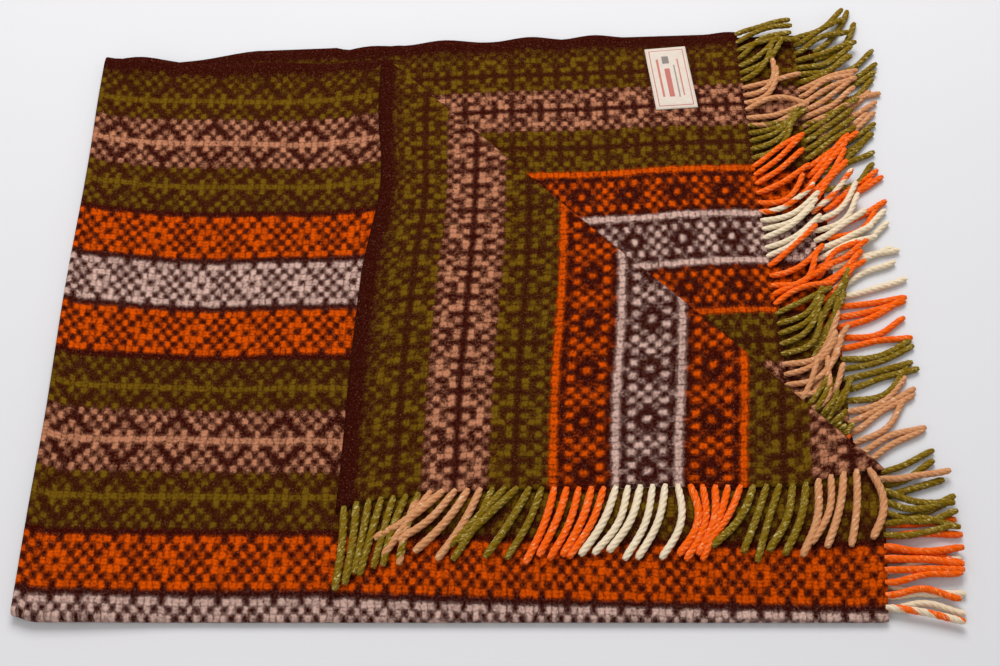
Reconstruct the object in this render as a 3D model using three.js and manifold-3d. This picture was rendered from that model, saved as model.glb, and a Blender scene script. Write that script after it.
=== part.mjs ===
// Fringed wool blanket, folded crosswise, then lengthwise, with its top corner turned back.
// Millimetres, +Z up, +X along the stack, +Y away from the lengthwise fold.
import * as THREE from 'three';
import { mergeVertices } from 'three/addons/utils/BufferGeometryUtils.js';
import Module from 'manifold-3d';

const wasm = await Module();
wasm.setup();

const { clamp, degToRad, lerp, smoothstep } = THREE.MathUtils;
const QUARTER_TURN = Math.PI / 2;

// The blanket as woven: selvedge to selvedge, and from the crosswise fold to each fringed end.
const CLOTH_WIDTH = 1514;
const OUTER_LENGTH = 967;
const INNER_LENGTH = 862;
const CLOTH_THICK = 3.2;
const LAYER_PITCH = 4.2;

// The stack: floor, inner two layers, top layer, with the level halfway between them.
const MIDDLE_LEVEL = CLOTH_THICK / 2 + 1.5 * LAYER_PITCH;
const TURN_RADIUS = LAYER_PITCH / 2;
const TURN_LENGTH = QUARTER_TURN * TURN_RADIUS;

// Lengthwise fold: the outer cloth turns round the inner fold, which lies deeper in the stack.
const OUTER_NEAR = CLOTH_THICK / 2;
const CORNER_EASE = 6.5;
const CORNER_REACH = 26;
const SLACK_BEND = 3.2;
const SLACK_REACH = { from: 40, to: 200 };
const SLACK_CLEAR = 5;
const INNER_SETBACK = 29.5;
const INNER_SLOPE = 0.045;
const INNER_REACH = 220;
const RUN_LENGTH = CLOTH_WIDTH / 2 - QUARTER_TURN * SLACK_BEND;

// How the layers lie on the floor: leaning left fold, twisted inner half, drifted bottom layer,
// outer end drawn in towards the lengthwise fold.
const LEFT_EDGE = -534;
const LEFT_LEAN = 0.0092;
const INNER_TWIST = 0.048;
const TWIST_CENTRE = 443;
const BOTTOM_DRIFT = 28;
const OUTER_DRAW = { by: 9, over: 160 };
const INNER_EASE = { from: 540, by: 18 };

// Soft ripples that lift the far selvedges: place along X, half width and height of each.
const RIPPLE_REACH = 60;
const OUTER_RIPPLES = [
  { at: -470, half: 60, lift: 11 },
  { at: -300, half: 90, lift: 6 },
  { at: -180, half: 60, lift: 5 },
];
const INNER_RIPPLES = [
  { at: -175, half: 50, lift: 7 },
  { at: -75, half: 55, lift: 8 },
  { at: 40, half: 50, lift: 8 },
  { at: 125, half: 45, lift: 7 },
  { at: 305, half: 30, lift: 4 },
];

// Turned corner: its crease runs from the far selvedge to the fringed end of the top layer.
const APEX_ALONG = 370;
const CREASE_END_RUN = 166;
const CREASE_STEPS = 16;
const CREASE_RADIUS = LAYER_PITCH / 2;
const CREASE_BEND_STEPS = 4;
const FLAP_SPREAD = 1.085;
const FLAP_BOW = { at: 165, half: 170, by: 15 };

// Fringe: strands of three sides, rooted in a narrow strip at the cloth's end, with the share of
// their full width at the root, along the strand and at the tip.
const STRAND_PITCH = 13.4;
const STRAND_HALF_WIDTH = 3.2;
const STRAND_SIZES = [0.75, 1, 1, 0.6];
const STRAND_STEPS = STRAND_SIZES.length - 1;
const STRIP_WIDTH = 5;
const STRIP_HEIGHT = 2.4;
const STRIP_LEAD = 4;
const PIECE_GAP = 0.3;
const ROOT_DEPTH = 4;
const ROOT_HEIGHT = 1.8;

// Sewn label on the inner top layer.
const LABEL = { x: 226, y: 729, width: 55, length: 100, thick: 0.8, turn: 6.2 };

const CLOTH_LOOK = { color: 0x5e3418, roughness: 0.95, metalness: 0 };
const FRINGE_LOOK = { color: 0x8a6a2a, roughness: 0.9, metalness: 0 };
const LABEL_LOOK = { color: 0xe6ded2, roughness: 0.8, metalness: 0 };

// Where the inner lengthwise fold lies, at a distance along the cloth from the crosswise fold.
function innerNear(along) {
  const square = OUTER_NEAR + CORNER_EASE;
  const settled = INNER_SETBACK + INNER_SLOPE * along;
  return lerp(square, settled, smoothstep(along, 0, INNER_REACH));
}

// One crosswise section of the folded blanket. Outer cloth has along > 0, inner cloth along < 0.
function foldSection(along) {
  const distance = Math.abs(along);
  const turn = clamp(along / TURN_LENGTH, -1, 1) * QUARTER_TURN;
  const halfGap = LAYER_PITCH * (1 + Math.sin(turn) / 2);
  const past = Math.max(0, distance - TURN_LENGTH);
  const reach = TURN_RADIUS * (1 - Math.cos(turn)) + past;
  const slack = along > 0 ? smoothstep(along, SLACK_REACH.from, SLACK_REACH.to) : 0;
  const bend = lerp(halfGap, SLACK_BEND, slack);
  const outerNear = OUTER_NEAR + CORNER_EASE * (1 - smoothstep(along, 0, CORNER_REACH));
  const near = along > 0 ? outerNear : innerNear(distance);
  const riseLength = Math.max(1, innerNear(distance) - SLACK_CLEAR - near - bend);
  return { distance, halfGap, reach, bend, near, riseLength, inner: along < 0 };
}

function rippleLift(ripples, x) {
  const heights = ripples.map(({ at, half, lift }) => lift * (1 - smoothstep(Math.abs(x - at), 0, half)));
  return Math.max(0, ...heights);
}

// Middle of the cloth before its corner is turned. angle goes from -90 on the lower layers,
// round the lengthwise fold, to 90 on the upper layers; run is the distance past the fold.
function laidPoint(along, { angle, run }) {
  const cut = foldSection(along);
  const theta = degToRad(angle);
  const upper = angle > 0;
  let y = cut.near + cut.bend * (1 - Math.cos(theta)) + run;
  let z = MIDDLE_LEVEL - cut.halfGap + cut.bend * (1 + Math.sin(theta));
  if (angle === 90) {
    z += 2 * (cut.halfGap - cut.bend) * smoothstep(run, 0, cut.riseLength);
  }
  if (cut.inner) {
    y -= INNER_EASE.by * smoothstep(run, INNER_EASE.from, RUN_LENGTH) * clamp(cut.distance / INNER_REACH, 0, 1);
  } else if (!upper) {
    y += BOTTOM_DRIFT * (cut.distance / OUTER_LENGTH) * (run / RUN_LENGTH);
  }
  let x = LEFT_EDGE + OUTER_NEAR + LEFT_LEAN * y + cut.reach;
  if (cut.inner) {
    x -= INNER_TWIST * (y - TWIST_CENTRE) * (cut.distance / INNER_LENGTH);
  } else {
    x -= OUTER_DRAW.by * (cut.distance / OUTER_LENGTH) * (1 - smoothstep(run, 0, OUTER_DRAW.over));
  }
  if (upper) {
    const ripples = cut.inner ? INNER_RIPPLES : OUTER_RIPPLES;
    z += rippleLift(ripples, x) * smoothstep(run, RUN_LENGTH - RIPPLE_REACH, RUN_LENGTH);
  }
  return new THREE.Vector3(x, y, z);
}

// The crease's line on the laid top layer, with its normal towards the corner that is turned.
const apex = laidPoint(APEX_ALONG, { angle: 90, run: RUN_LENGTH });
const creaseEnd = laidPoint(OUTER_LENGTH, { angle: 90, run: CREASE_END_RUN });
const creaseWay = new THREE.Vector3(creaseEnd.x - apex.x, creaseEnd.y - apex.y, 0).normalize();
const creaseNormal = new THREE.Vector3(-creaseWay.y, creaseWay.x, 0);
const flatTop = MIDDLE_LEVEL + 1.5 * LAYER_PITCH;

function pastCrease(point) {
  return (point.x - apex.x) * creaseNormal.x + (point.y - apex.y) * creaseNormal.y;
}

// A point of the turned corner: mirrored over the crease, one layer higher.
function turnedPoint(point) {
  const past = Math.max(0, pastCrease(point));
  const turned = point.clone().addScaledVector(creaseNormal, -(1 + FLAP_SPREAD) * past);
  turned.z = flatTop + 2 * CREASE_RADIUS;
  const fromApex = apex.y - turned.y;
  const bow = 1 - smoothstep(Math.abs(fromApex - FLAP_BOW.at), 0, FLAP_BOW.half);
  const selvedge = 1 - smoothstep(turned.x - apex.x, 0, FLAP_BOW.half);
  turned.x += FLAP_BOW.by * bow * selvedge * smoothstep(past, 0, FLAP_BOW.half);
  return turned;
}

// A point on the round of the crease, at a share of its half turn.
function creasePoint(point, share) {
  const turn = share * Math.PI;
  const out = point.clone().addScaledVector(creaseNormal, CREASE_RADIUS * Math.sin(turn));
  out.z = flatTop + CREASE_RADIUS * (1 - Math.cos(turn));
  return out;
}

function evenSteps(from, to, count) {
  return Array.from({ length: count + 1 }, (_, step) => lerp(from, to, step / count));
}

// Grid lines along the cloth, from the inner fringed end round the crosswise fold to the outer end.
const ALONG_LINES = [
  ...evenSteps(-INNER_LENGTH, -INNER_REACH, 14),
  -120, -50,
  ...evenSteps(-TURN_LENGTH, TURN_LENGTH, 4),
  12, CORNER_REACH, 60, 120, 200, 285,
  ...evenSteps(APEX_ALONG, OUTER_LENGTH, CREASE_STEPS),
];

// Grid lines across the cloth, from the lower selvedge round the lengthwise fold to the upper one.
const lowerRuns = [RUN_LENGTH, 690, 560, 430, 300, 180, 100, 50, 20];
const nearRuns = [8, 16, 25, 36, 50, 80, 120];
const ACROSS_LINES = [
  ...lowerRuns.map((run) => ({ angle: -90, run })),
  ...evenSteps(-90, 90, 4).map((angle) => ({ angle, run: 0 })),
  ...nearRuns.map((run) => ({ angle: 90, run })),
  ...evenSteps(CREASE_END_RUN, RUN_LENGTH, CREASE_STEPS).map((run) => ({ angle: 90, run })),
];

// Middle surface as points and triangles. Cells on the crease are halved along it, and the two
// halves are joined by the crease's round.
function clothSurface() {
  const points = [];
  const triangles = [];
  const places = new Map();
  const place = (key, make) => {
    if (!places.has(key)) {
      places.set(key, points.length);
      points.push(make());
    }
    return places.get(key);
  };
  const firstCrease = ALONG_LINES.indexOf(APEX_ALONG);
  const lastAcross = ACROSS_LINES.length - 1;
  const side = (i, j) => i - firstCrease + j - lastAcross;
  const laid = (i, j) => place(`laid ${i} ${j}`, () => laidPoint(ALONG_LINES[i], ACROSS_LINES[j]));
  const round = (i, j, step) => {
    if (step === 0) return laid(i, j);
    const make = () => creasePoint(laidPoint(ALONG_LINES[i], ACROSS_LINES[j]), step / CREASE_BEND_STEPS);
    return place(`round ${i} ${j} ${step}`, make);
  };
  const turned = (i, j) => {
    if (side(i, j) === 0) return round(i, j, CREASE_BEND_STEPS);
    return place(`turned ${i} ${j}`, () => turnedPoint(laidPoint(ALONG_LINES[i], ACROSS_LINES[j])));
  };
  for (let i = 0; i + 1 < ALONG_LINES.length; i += 1) {
    for (let j = 0; j < lastAcross; j += 1) {
      const low = side(i, j);
      const first = low >= 0 ? turned : laid;
      const second = low >= -1 ? turned : laid;
      triangles.push([first(i, j), first(i + 1, j), first(i, j + 1)]);
      triangles.push([second(i + 1, j), second(i + 1, j + 1), second(i, j + 1)]);
      if (low !== -1) continue;
      for (let step = 0; step < CREASE_BEND_STEPS; step += 1) {
        const corners = [[i + 1, j, step], [i + 1, j, step + 1], [i, j + 1, step + 1], [i, j + 1, step]];
        const [a, b, c, d] = corners.map((corner) => round(...corner));
        triangles.push([a, b, c], [a, c, d]);
      }
    }
  }
  return { points, triangles };
}

// Closed geometry from corner points and triangles.
function closedGeometry(points, triangles) {
  const geometry = new THREE.BufferGeometry();
  geometry.setAttribute('position', new THREE.Float32BufferAttribute(points.flatMap((p) => p.toArray()), 3));
  geometry.setIndex(triangles.flat());
  return geometry;
}

// A sheet's solid: the surface moved half its thickness to each side, closed along its rim.
function sheetGeometry({ points, triangles }, thick) {
  const normals = points.map(() => new THREE.Vector3());
  const rim = new Map();
  for (const [a, b, c] of triangles) {
    const edge1 = points[b].clone().sub(points[a]);
    const edge2 = points[c].clone().sub(points[a]);
    const facing = edge1.cross(edge2).normalize();
    for (const [from, to] of [[a, b], [b, c], [c, a]]) {
      normals[from].add(facing);
      if (!rim.delete(`${to} ${from}`)) rim.set(`${from} ${to}`, [from, to]);
    }
  }
  const count = points.length;
  const moved = (by) => points.map((p, k) => p.clone().addScaledVector(normals[k].normalize(), by));
  const faces = [...triangles, ...triangles.map(([a, b, c]) => [a + count, c + count, b + count])];
  for (const [from, to] of rim.values()) {
    faces.push([to, from, from + count], [to, from + count, to + count]);
  }
  return closedGeometry([...moved(thick / 2), ...moved(-thick / 2)], faces);
}

// A solid through a row of like rings, closed by a cap at each end.
function loftGeometry(rings) {
  const sides = rings[0].length;
  const triangles = [];
  for (let ring = 0; ring + 1 < rings.length; ring += 1) {
    for (let side = 0; side < sides; side += 1) {
      const a = ring * sides + side;
      const b = ring * sides + (side + 1) % sides;
      triangles.push([a, b, b + sides], [a, b + sides, a + sides]);
    }
  }
  const last = (rings.length - 1) * sides;
  for (let side = 1; side + 1 < sides; side += 1) {
    triangles.push([0, side + 1, side], [last, last + side, last + side + 1]);
  }
  return closedGeometry(rings.flat(), triangles);
}

function toSolid(geometry) {
  const merged = mergeVertices(geometry, 1e-4);
  const vertProperties = new Float32Array(merged.attributes.position.array);
  const triVerts = new Uint32Array(merged.index.array);
  return new wasm.Manifold(new wasm.Mesh({ numProp: 3, vertProperties, triVerts }));
}

function fusedGeometry(geometries) {
  const fused = wasm.Manifold.union(geometries.map(toSolid)).getMesh();
  const geometry = new THREE.BufferGeometry();
  geometry.setAttribute('position', new THREE.BufferAttribute(new Float32Array(fused.vertProperties), 3));
  geometry.setIndex(new THREE.BufferAttribute(new Uint32Array(fused.triVerts), 1));
  return geometry;
}

// The fringes. Each row of lie gives, at a share of the strip, the way that strands leave the
// cloth and the way that their tips point, in degrees from straight out, positive to the left.
const END_ALONG = { outer: OUTER_LENGTH, inner: -INNER_LENGTH };
const BOTTOM_TOP = CLOTH_THICK + PIECE_GAP;
const FLAP_BASE = flatTop + CLOTH_THICK / 2 + PIECE_GAP;
const FRINGES = [
  {
    name: 'fringe_bottom', end: 'outer', angle: -90, from: 6, to: RUN_LENGTH - 2, height: 5.2, length: 94,
    rootBase: () => 0, tipBase: 0,
    lie: [
      { share: 0, root: 0, tip: -4 }, { share: 0.15, root: -2, tip: -3 }, { share: 0.3, root: 4, tip: 8 },
      { share: 0.5, root: 14, tip: 24 }, { share: 0.85, root: 20, tip: 32 }, { share: 1, root: 32, tip: 48 },
    ],
  },
  {
    name: 'fringe_inner_lower', end: 'inner', angle: -90, from: 8, to: RUN_LENGTH - 2, height: 4, length: 82,
    rootBase: () => BOTTOM_TOP, tipBase: BOTTOM_TOP,
    lie: [{ share: 0, root: 28, tip: 34 }, { share: 0.3, root: 14, tip: 34 }, { share: 1, root: 12, tip: 36 }],
  },
  {
    name: 'fringe_inner_upper', end: 'inner', angle: 90, from: 8, to: RUN_LENGTH - 2, height: 4, length: 86,
    rootBase: (z) => z - 2, tipBase: MIDDLE_LEVEL,
    lie: [
      { share: 0, root: 28, tip: 34 }, { share: 0.3, root: 16, tip: 38 },
      { share: 0.75, root: 8, tip: 42 }, { share: 1, root: 10, tip: 30 },
    ],
  },
  {
    name: 'fringe_top', end: 'outer', angle: 90, from: 8, to: CREASE_END_RUN - 4, height: 4, length: 88,
    rootBase: (z) => z - 2, tipBase: 5.6,
    lie: [{ share: 0, root: -2, tip: -4 }, { share: 0.5, root: -3, tip: -6 }, { share: 1, root: -2, tip: 6 }],
  },
  {
    name: 'fringe_flap', end: 'outer', angle: 90, turned: true, from: CREASE_END_RUN + 8, to: RUN_LENGTH - 2,
    height: 4, length: 93,
    rootBase: () => FLAP_BASE, tipBase: FLAP_BASE,
    lie: [
      { share: 0, root: -4, tip: -14 }, { share: 0.2, root: -8, tip: -22 }, { share: 0.5, root: -12, tip: -24 },
      { share: 0.85, root: -10, tip: -24 }, { share: 1, root: -2, tip: -8 },
    ],
  },
];

// A value of one column of a table of shares, read between its rows.
function between(rows, column, share) {
  const next = Math.max(1, rows.findIndex((row) => row.share >= share));
  const [before, after] = [rows[next - 1], rows[next]];
  return lerp(before[column], after[column], (share - before.share) / (after.share - before.share));
}

// The cloth's end at a run along it: its middle point and the level way out of the cloth.
function endFrame(fringe, run) {
  const along = END_ALONG[fringe.end];
  const back = along - Math.sign(along);
  const at = (distance) => {
    const point = laidPoint(distance, { angle: fringe.angle, run });
    return fringe.turned ? turnedPoint(point) : point;
  };
  const root = at(along);
  const out = root.clone().sub(at(back)).setZ(0).normalize();
  const left = new THREE.Vector3(-out.y, out.x, 0);
  return { root, out, left };
}

// The strip bends at the same runs as the cloth's own end.
function stripGeometry(fringe) {
  const within = ({ angle, run }) => angle === fringe.angle && run > fringe.from && run < fringe.to;
  const inside = ACROSS_LINES.filter(within).map(({ run }) => run).sort((a, b) => a - b);
  const rings = [fringe.from - STRIP_LEAD, ...inside, fringe.to].map((run) => {
    const { root, out } = endFrame(fringe, run);
    const corner = (reach, up) => root.clone().addScaledVector(out, reach).setZ(root.z + up * STRIP_HEIGHT / 2);
    const far = PIECE_GAP + STRIP_WIDTH;
    return [corner(PIECE_GAP, -1), corner(far, -1), corner(far, 1), corner(PIECE_GAP, 1)];
  });
  return loftGeometry(fringe.turned ? rings : rings.map((ring) => ring.reverse()));
}

function strandGeometry(fringe, run) {
  const share = (run - fringe.from) / (fringe.to - fringe.from);
  const { root, out, left } = endFrame(fringe, run);
  const rootWay = degToRad(between(fringe.lie, 'root', share));
  const tipWay = degToRad(between(fringe.lie, 'tip', share));
  const step = fringe.length / STRAND_STEPS;
  const foot = root.clone().addScaledVector(out, PIECE_GAP + STRIP_WIDTH - ROOT_DEPTH);
  const rings = evenSteps(0, 1, STRAND_STEPS).map((part, index) => {
    const way = lerp(rootWay, tipWay, part);
    const ahead = out.clone().multiplyScalar(Math.cos(way)).addScaledVector(left, Math.sin(way));
    const beside = part === 0 ? left : new THREE.Vector3(-ahead.y, ahead.x, 0);
    const size = STRAND_SIZES[index];
    const height = index === 0 ? ROOT_HEIGHT : size * fringe.height;
    const rest = lerp(fringe.rootBase(root.z), fringe.tipBase, smoothstep(part, 0, 1));
    const base = foot.clone().setZ(index === 0 ? root.z - height / 2 : rest);
    foot.addScaledVector(ahead, step);
    const edge = (by) => base.clone().addScaledVector(beside, by * size * STRAND_HALF_WIDTH);
    return [edge(-1), edge(1), base.clone().setZ(base.z + height)];
  });
  return loftGeometry(rings);
}

function fringeGeometry(fringe) {
  const count = Math.floor((fringe.to - fringe.from) / STRAND_PITCH);
  const spare = fringe.to - fringe.from - count * STRAND_PITCH;
  const runs = Array.from({ length: count + 1 }, (_, k) => fringe.from + spare / 2 + k * STRAND_PITCH);
  return fusedGeometry([stripGeometry(fringe), ...runs.map((run) => strandGeometry(fringe, run))]);
}

function pieceMesh(name, geometry, look) {
  const mesh = new THREE.Mesh(geometry, new THREE.MeshStandardMaterial(look));
  mesh.name = name;
  return mesh;
}

function labelMesh() {
  const mesh = pieceMesh('label', new THREE.BoxGeometry(LABEL.width, LABEL.length, LABEL.thick), LABEL_LOOK);
  const seat = MIDDLE_LEVEL + LAYER_PITCH / 2 + CLOTH_THICK / 2;
  mesh.position.set(LABEL.x, LABEL.y, seat + PIECE_GAP + LABEL.thick / 2);
  mesh.rotation.z = degToRad(LABEL.turn);
  return mesh;
}

// The folded blanket stands with the middle of its base at the origin.
const blanket = new THREE.Group();
blanket.add(pieceMesh('cloth', sheetGeometry(clothSurface(), CLOTH_THICK), CLOTH_LOOK));
blanket.add(labelMesh());
for (const fringe of FRINGES) {
  blanket.add(pieceMesh(fringe.name, fringeGeometry(fringe), FRINGE_LOOK));
}
const middle = new THREE.Box3().setFromObject(blanket).getCenter(new THREE.Vector3());
blanket.position.set(-middle.x, -middle.y, 0);

export default blanket;
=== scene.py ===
from functools import partial
import math

import bpy
import numpy as np
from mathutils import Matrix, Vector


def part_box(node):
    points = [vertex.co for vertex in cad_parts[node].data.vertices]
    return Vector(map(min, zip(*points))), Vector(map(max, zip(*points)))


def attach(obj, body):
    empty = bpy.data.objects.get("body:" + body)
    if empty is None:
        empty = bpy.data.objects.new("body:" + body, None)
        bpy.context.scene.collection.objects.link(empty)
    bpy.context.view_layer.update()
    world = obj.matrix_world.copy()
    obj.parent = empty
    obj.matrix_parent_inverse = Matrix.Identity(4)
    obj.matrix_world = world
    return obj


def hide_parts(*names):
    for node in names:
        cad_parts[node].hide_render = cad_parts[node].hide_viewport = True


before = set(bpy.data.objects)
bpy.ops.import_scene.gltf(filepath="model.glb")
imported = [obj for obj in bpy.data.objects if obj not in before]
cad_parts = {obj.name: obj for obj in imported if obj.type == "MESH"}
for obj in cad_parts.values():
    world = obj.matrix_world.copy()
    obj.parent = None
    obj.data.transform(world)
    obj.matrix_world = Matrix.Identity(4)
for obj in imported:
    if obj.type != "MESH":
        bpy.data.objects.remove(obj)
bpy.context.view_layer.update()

MM = 0.001
QUARTER_TURN = math.pi / 2
chance = np.random.default_rng(1829)

# The blanket as woven, in millimetres: selvedge to selvedge, and from the crosswise fold to each
# fringed end.
CLOTH_WIDTH = 1514
OUTER_LENGTH = 967
INNER_LENGTH = 862
CLOTH_THICK = 3.2
LAYER_PITCH = 4.2

# How it is folded and laid, as in the part.
MIDDLE_LEVEL = CLOTH_THICK / 2 + 1.5 * LAYER_PITCH
TURN_RADIUS = LAYER_PITCH / 2
TURN_LENGTH = QUARTER_TURN * TURN_RADIUS
OUTER_NEAR = CLOTH_THICK / 2
CORNER_EASE = 6.5
CORNER_REACH = 26
SLACK_BEND = 3.2
SLACK_REACH = (40, 200)
SLACK_CLEAR = 5
INNER_SETBACK = 29.5
INNER_SLOPE = 0.045
INNER_REACH = 220
RUN_LENGTH = CLOTH_WIDTH / 2 - QUARTER_TURN * SLACK_BEND
LEFT_EDGE = -534
LEFT_LEAN = 0.0092
INNER_TWIST = 0.048
TWIST_CENTRE = 443
BOTTOM_DRIFT = 28
OUTER_DRAW_BY, OUTER_DRAW_OVER = 9, 160
INNER_EASE_FROM, INNER_EASE_BY = 540, 18
RIPPLE_REACH = 60
OUTER_RIPPLES = [(-470, 60, 11), (-300, 90, 6), (-180, 60, 5)]
INNER_RIPPLES = [(-175, 50, 7), (-75, 55, 8), (40, 50, 8), (125, 45, 7), (305, 30, 4)]
APEX_ALONG = 370
CREASE_END_RUN = 166
CREASE_RADIUS = LAYER_PITCH / 2
FLAP_SPREAD = 1.085
FLAP_BOW_AT, FLAP_BOW_HALF, FLAP_BOW_BY = 165, 170, 15
LABEL_AT = (226, 729)
LABEL_SIZE = (55, 100)
LABEL_THICK = 0.8
LABEL_TURN = math.radians(6.2)

# What the part leaves out: the ends of the lower layers are spread and drawn in, the crease is
# puffed, and the turned corner flares and hangs unevenly along its fringed edge.
LOWER_SPREAD = 44
LOWER_SPREAD_FROM, LOWER_SPREAD_RUN = 250, 430
BOTTOM_DRAW, BOTTOM_DRAW_FROM, BOTTOM_DRAW_RUNS = 26, 500, (40, 230)
BOTTOM_CORNER, BOTTOM_CORNER_RUN = 10, 600
CREASE_PUFF, CREASE_PUFF_REACH = 2.6, 55
FLAP_FLARE, FLAP_FLARE_FROM, FLAP_FLARE_OVER, FLAP_FLARE_PAST = 9, 150, 457, 150
FLAP_HANG_FROM, FLAP_HANG_PAST = (160, 520), 60
FLAP_HANG_AT = (-175, -153, -124, -68, -11, 57, 136, 205, 278, 346, 407)
FLAP_HANG_BY = (12, 4.3, 0, -4, -2, 1, 4.4, 5, 9, 13, 2.8)

label_low, label_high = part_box("label")
SHIFT = np.array([
    (label_low[0] + label_high[0]) / 2 - LABEL_AT[0] * MM,
    (label_low[1] + label_high[1]) / 2 - LABEL_AT[1] * MM,
    0,
])


def in_frame(points):
    """Build millimetres to metres in the shared frame."""
    return np.asarray(points) * MM + SHIFT


def lerp(a, b, share):
    return a + (b - a) * share


def smoothstep(value, low, high):
    share = np.clip((value - low) / (high - low), 0, 1)
    return share * share * (3 - 2 * share)


# How the cloth is laid

def inner_near(along):
    square = OUTER_NEAR + CORNER_EASE
    return lerp(square, INNER_SETBACK + INNER_SLOPE * along, smoothstep(along, 0, INNER_REACH))


def ripple_lift(ripples, x):
    heights = [lift * (1 - smoothstep(np.abs(x - at), 0, half)) for at, half, lift in ripples]
    return np.maximum(0, np.max(heights, axis=0))


def laid_points(along, angle, run):
    """Middle of the cloth before its corner is turned. angle goes from -90 on the lower layers,
    round the lengthwise fold, to 90 on the upper ones; run is the distance past the fold."""
    along, angle, run = np.broadcast_arrays(*(np.asarray(v, float) for v in (along, angle, run)))
    distance = np.abs(along)
    inner = along < 0
    upper = angle > 0
    turn = np.clip(along / TURN_LENGTH, -1, 1) * QUARTER_TURN
    half_gap = LAYER_PITCH * (1 + np.sin(turn) / 2)
    reach = TURN_RADIUS * (1 - np.cos(turn)) + np.maximum(0, distance - TURN_LENGTH)
    slack = np.where(along > 0, smoothstep(along, *SLACK_REACH), 0)
    bend = lerp(half_gap, SLACK_BEND, slack)
    outer_near = OUTER_NEAR + CORNER_EASE * (1 - smoothstep(along, 0, CORNER_REACH))
    near = np.where(along > 0, outer_near, inner_near(distance))
    rise = np.maximum(1, inner_near(distance) - SLACK_CLEAR - near - bend)

    theta = np.radians(angle)
    y = near + bend * (1 - np.cos(theta)) + run
    z = MIDDLE_LEVEL - half_gap + bend * (1 + np.sin(theta))
    z = z + np.where(angle == 90, 2 * (half_gap - bend) * smoothstep(run, 0, rise), 0)
    ease = smoothstep(run, INNER_EASE_FROM, RUN_LENGTH) * np.clip(distance / INNER_REACH, 0, 1)
    drift = BOTTOM_DRIFT * (distance / OUTER_LENGTH) * (run / RUN_LENGTH)
    y = y + np.where(inner, -INNER_EASE_BY * ease, np.where(upper, 0, drift))
    twist = INNER_TWIST * (y - TWIST_CENTRE) * (distance / INNER_LENGTH)
    draw = OUTER_DRAW_BY * (distance / OUTER_LENGTH) * (1 - smoothstep(run, 0, OUTER_DRAW_OVER))
    fold_twist = INNER_TWIST * (near + bend - TWIST_CENTRE) * (distance / INNER_LENGTH)
    end_share = smoothstep(distance, LOWER_SPREAD_FROM, INNER_LENGTH)
    lower_twist = fold_twist - LOWER_SPREAD * end_share * smoothstep(run, 0, LOWER_SPREAD_RUN)
    twist = np.where(upper, twist, lower_twist)
    drawn_in = BOTTOM_DRAW * smoothstep(run, *BOTTOM_DRAW_RUNS)
    drawn_in = drawn_in - BOTTOM_CORNER * smoothstep(run, BOTTOM_CORNER_RUN, RUN_LENGTH)
    draw = draw + np.where(upper, 0, drawn_in * smoothstep(distance, BOTTOM_DRAW_FROM, OUTER_LENGTH))
    x = LEFT_EDGE + OUTER_NEAR + LEFT_LEAN * y + reach - np.where(inner, twist, draw)
    lift = np.where(inner, ripple_lift(INNER_RIPPLES, x), ripple_lift(OUTER_RIPPLES, x))
    lift = lift * smoothstep(run, RUN_LENGTH - RIPPLE_REACH, RUN_LENGTH)
    z = z + np.where(upper, lift, 0)
    return np.stack([x, y, z], axis=-1)


APEX = laid_points(APEX_ALONG, 90, RUN_LENGTH)
CREASE_END = laid_points(OUTER_LENGTH, 90, CREASE_END_RUN)
CREASE_WAY = (CREASE_END - APEX)[:2] / np.linalg.norm((CREASE_END - APEX)[:2])
CREASE_NORMAL = np.array([-CREASE_WAY[1], CREASE_WAY[0], 0])
FLAT_TOP = MIDDLE_LEVEL + 1.5 * LAYER_PITCH


def past_crease(points):
    return (points - APEX) @ CREASE_NORMAL


def turned_points(points):
    """The turned corner: mirrored over the crease, one layer higher, puffed along the crease. It is
    bowed by its own weight, and its fringed edge hangs unevenly."""
    past = np.maximum(0, past_crease(points))
    turned = points - np.multiply.outer((1 + FLAP_SPREAD) * past, CREASE_NORMAL)
    puff = CREASE_PUFF * (1 - smoothstep(past, 0, CREASE_PUFF_REACH))
    turned[..., 2] = FLAT_TOP + 2 * CREASE_RADIUS + puff
    from_apex = APEX[1] - turned[..., 1]
    bow = 1 - smoothstep(np.abs(from_apex - FLAP_BOW_AT), 0, FLAP_BOW_HALF)
    bow = bow * (1 - smoothstep(turned[..., 0] - APEX[0], 0, FLAP_BOW_HALF))
    turned[..., 0] += FLAP_BOW_BY * bow * smoothstep(past, 0, FLAP_BOW_HALF)
    hang = np.interp(turned[..., 0], FLAP_HANG_AT, FLAP_HANG_BY)
    flare = FLAP_FLARE * np.clip((from_apex - FLAP_FLARE_FROM) / FLAP_FLARE_OVER, 0, 1)
    turned[..., 0] -= flare * smoothstep(past, 0, FLAP_FLARE_PAST)
    turned[..., 1] -= hang * smoothstep(from_apex, *FLAP_HANG_FROM) * smoothstep(past, 0, FLAP_HANG_PAST)
    return turned


def crease_points(points, share):
    """The round of the crease, at a share of its half turn."""
    radius = CREASE_RADIUS + CREASE_PUFF / 2
    out = points + radius * math.sin(share * math.pi) * CREASE_NORMAL
    out[..., 2] = FLAT_TOP + radius * (1 - math.cos(share * math.pi))
    return out


SWELL_BY = 1.1
LEFT_SAG_BY = 6.5
LONG_SWAY_BY, SHORT_SWAY_BY, SIDE_SWAY_BY = 2.4, 1.1, 1.1
TOP_SLACK_BY = 8.5
FAR_TUCK_BY = 10


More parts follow.
